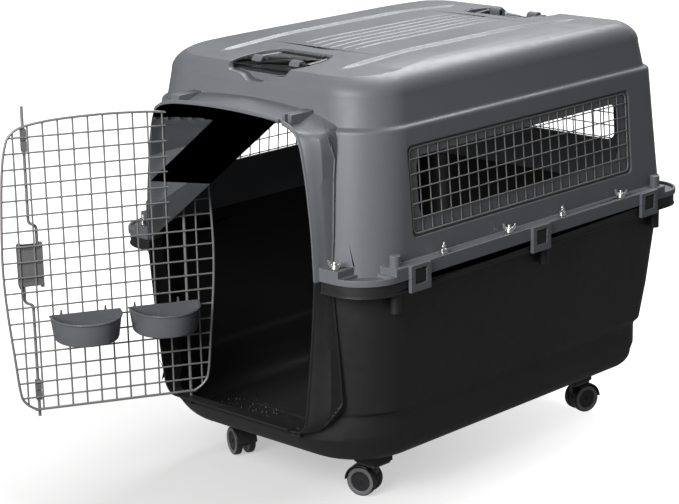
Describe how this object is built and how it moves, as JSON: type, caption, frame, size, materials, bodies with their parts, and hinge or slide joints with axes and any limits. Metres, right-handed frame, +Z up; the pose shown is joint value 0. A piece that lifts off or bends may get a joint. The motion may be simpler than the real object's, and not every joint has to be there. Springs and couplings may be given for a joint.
{
  "type": "pet transport carrier",
  "caption": "Two-part moulded pet carrier on twin-wheel swivel casters, with a swinging wire door, spring latch, hanging bowls, wire side windows and folding roof handles.",
  "frame": {"origin": "centre of the flat skid panel on the underside of the bottom shell", "axes": "+Z up; the door end faces -Y; +X is the carrier's side to the right of someone facing +Y, the side seen in the picture"},
  "size_m": [0.596, 1.083, 0.714],
  "materials": {
    "shell_upper": "fine moulded grain, satin mid grey",
    "shell_lower": "fine moulded grain, satin near black",
    "wire": "gun-metal grey coated wire",
    "zinc": "bright zinc plating",
    "latch_plastic": "satin grey plastic",
    "bowl": "slightly glossy dark grey plastic",
    "handle": "satin black plastic",
    "caster_steel": "pressed steel plate and stem",
    "caster_body": "satin black plastic",
    "caster_wheel": "satin dark grey plastic"
  },
  "bodies": {
    "carrier": {"top_shell": "shell_upper", "bottom_shell": "shell_lower", "window_mesh_right": "wire", "window_mesh_left": "wire", "window_mesh_rear": "wire", "bolt_right_1": "zinc", "bolt_right_2": "zinc", "bolt_right_3": "zinc", "bolt_right_4": "zinc", "bolt_left_1": "zinc", "bolt_left_2": "zinc", "bolt_left_3": "zinc", "bolt_left_4": "zinc", "bolt_front_1": "zinc", "bolt_front_2": "zinc", "bolt_rear_1": "zinc", "bolt_rear_2": "zinc", "wing_nut_right_1": "zinc", "wing_nut_right_2": "zinc", "wing_nut_right_3": "zinc", "wing_nut_right_4": "zinc", "wing_nut_left_1": "zinc", "wing_nut_left_2": "zinc", "wing_nut_left_3": "zinc", "wing_nut_left_4": "zinc", "wing_nut_front_1": "zinc", "wing_nut_front_2": "zinc", "wing_nut_rear_1": "zinc", "wing_nut_rear_2": "zinc", "caster_plate_front_right": "caster_steel", "caster_plate_front_left": "caster_steel", "caster_plate_rear_right": "caster_steel", "caster_plate_rear_left": "caster_steel"},
    "door": {"door_grid": "wire", "hinge_rod": "wire", "latch_housing": "latch_plastic", "rod_guide_upper": "latch_plastic", "rod_guide_lower": "latch_plastic", "latch_spring": "zinc"},
    "latch_upper": {"latch_rod_upper": "wire", "latch_grip_upper": "latch_plastic"},
    "latch_lower": {"latch_rod_lower": "wire", "latch_grip_lower": "latch_plastic"},
    "left_bowl": {"bowl_left": "bowl"},
    "right_bowl": {"bowl_right": "bowl"},
    "front_handle": {"handle_front": "handle"},
    "rear_handle": {"handle_rear": "handle"},
    "caster_front_right": {"caster_hood_front_right": "caster_body"},
    "wheel_front_right_a": {"caster_wheel_front_right_a": "caster_wheel"},
    "wheel_front_right_b": {"caster_wheel_front_right_b": "caster_wheel"},
    "caster_front_left": {"caster_hood_front_left": "caster_body"},
    "wheel_front_left_a": {"caster_wheel_front_left_a": "caster_wheel"},
    "wheel_front_left_b": {"caster_wheel_front_left_b": "caster_wheel"},
    "caster_rear_right": {"caster_hood_rear_right": "caster_body"},
    "wheel_rear_right_a": {"caster_wheel_rear_right_a": "caster_wheel"},
    "wheel_rear_right_b": {"caster_wheel_rear_right_b": "caster_wheel"},
    "caster_rear_left": {"caster_hood_rear_left": "caster_body"},
    "wheel_rear_left_a": {"caster_wheel_rear_left_a": "caster_wheel"},
    "wheel_rear_left_b": {"caster_wheel_rear_left_b": "caster_wheel"}
  },
  "joints": [
    {"name": "door_swing", "type": "hinge", "parent": "carrier", "child": "door", "pos_m": [-0.1265, -0.4, 0.32], "axis": [0, 0, 1], "range_deg": [-6, 118.66]},
    {"name": "latch_upper_slide", "type": "slide", "parent": "door", "child": "latch_upper", "axis": [0, 0, -1], "range_m": [0, 0.016], "stiffness_N_per_m": 250, "springref_m": -0.01, "deforming": ["latch_spring"]},
    {"name": "latch_lower_slide", "type": "slide", "parent": "door", "child": "latch_lower", "axis": [0, 0, 1], "range_m": [0, 0.016]},
    {"name": "left_bowl_lift", "type": "slide", "parent": "door", "child": "left_bowl", "axis": [0, 0, 1], "range_m": [0, 0.012]},
    {"name": "right_bowl_lift", "type": "slide", "parent": "door", "child": "right_bowl", "axis": [0, 0, 1], "range_m": [0, 0.012]},
    {"name": "front_handle_fold", "type": "hinge", "parent": "carrier", "child": "front_handle", "pos_m": [0, -0.2975, 0.6205], "axis": [1, 0, 0], "range_deg": [0, 100]},
    {"name": "rear_handle_fold", "type": "hinge", "parent": "carrier", "child": "rear_handle", "pos_m": [0, 0.2975, 0.6205], "axis": [-1, 0, 0], "range_deg": [0, 100]},
    {"name": "swivel_front_right", "type": "hinge", "parent": "carrier", "child": "caster_front_right", "pos_m": [0.16, -0.266, -0.03], "axis": [0, 0, 1], "continuous": true},
    {"name": "roll_front_right_a", "type": "hinge", "parent": "caster_front_right", "child": "wheel_front_right_a", "pos_m": [0.1447, -0.27068, -0.055], "axis": [0.2924, -0.9563, 0], "continuous": true},
    {"name": "roll_front_right_b", "type": "hinge", "parent": "caster_front_right", "child": "wheel_front_right_b", "pos_m": [0.1447, -0.27068, -0.055], "axis": [0.2924, -0.9563, 0], "continuous": true},
    {"name": "swivel_front_left", "type": "hinge", "parent": "carrier", "child": "caster_front_left", "pos_m": [-0.16, -0.266, -0.03], "axis": [0, 0, 1], "continuous": true},
    {"name": "roll_front_left_a", "type": "hinge", "parent": "caster_front_left", "child": "wheel_front_left_a", "pos_m": [-0.14516, -0.27199, -0.055], "axis": [0.3746, 0.9272, 0], "continuous": true},
    {"name": "roll_front_left_b", "type": "hinge", "parent": "caster_front_left", "child": "wheel_front_left_b", "pos_m": [-0.14516, -0.27199, -0.055], "axis": [0.3746, 0.9272, 0], "continuous": true},
    {"name": "swivel_rear_right", "type": "hinge", "parent": "carrier", "child": "caster_rear_right", "pos_m": [0.16, 0.266, -0.03], "axis": [0, 0, 1], "continuous": true},
    {"name": "roll_rear_right_a", "type": "hinge", "parent": "caster_rear_right", "child": "wheel_rear_right_a", "pos_m": [0.16441, 0.28138, -0.055], "axis": [-0.9613, 0.2756, 0], "continuous": true},
    {"name": "roll_rear_right_b", "type": "hinge", "parent": "caster_rear_right", "child": "wheel_rear_right_b", "pos_m": [0.16441, 0.28138, -0.055], "axis": [-0.9613, 0.2756, 0], "continuous": true},
    {"name": "swivel_rear_left", "type": "hinge", "parent": "carrier", "child": "caster_rear_left", "pos_m": [-0.16, 0.266, -0.03], "axis": [0, 0, 1], "continuous": true},
    {"name": "roll_rear_left_a", "type": "hinge", "parent": "caster_rear_left", "child": "wheel_rear_left_a", "pos_m": [-0.16139, 0.28194, -0.055], "axis": [-0.9962, -0.0872, 0], "continuous": true},
    {"name": "roll_rear_left_b", "type": "hinge", "parent": "caster_rear_left", "child": "wheel_rear_left_b", "pos_m": [-0.16139, 0.28194, -0.055], "axis": [-0.9962, -0.0872, 0], "continuous": true}
  ],
  "couplings": [
    {"joint": "latch_lower_slide", "follows": "latch_upper_slide", "ratio": 1}
  ]
}
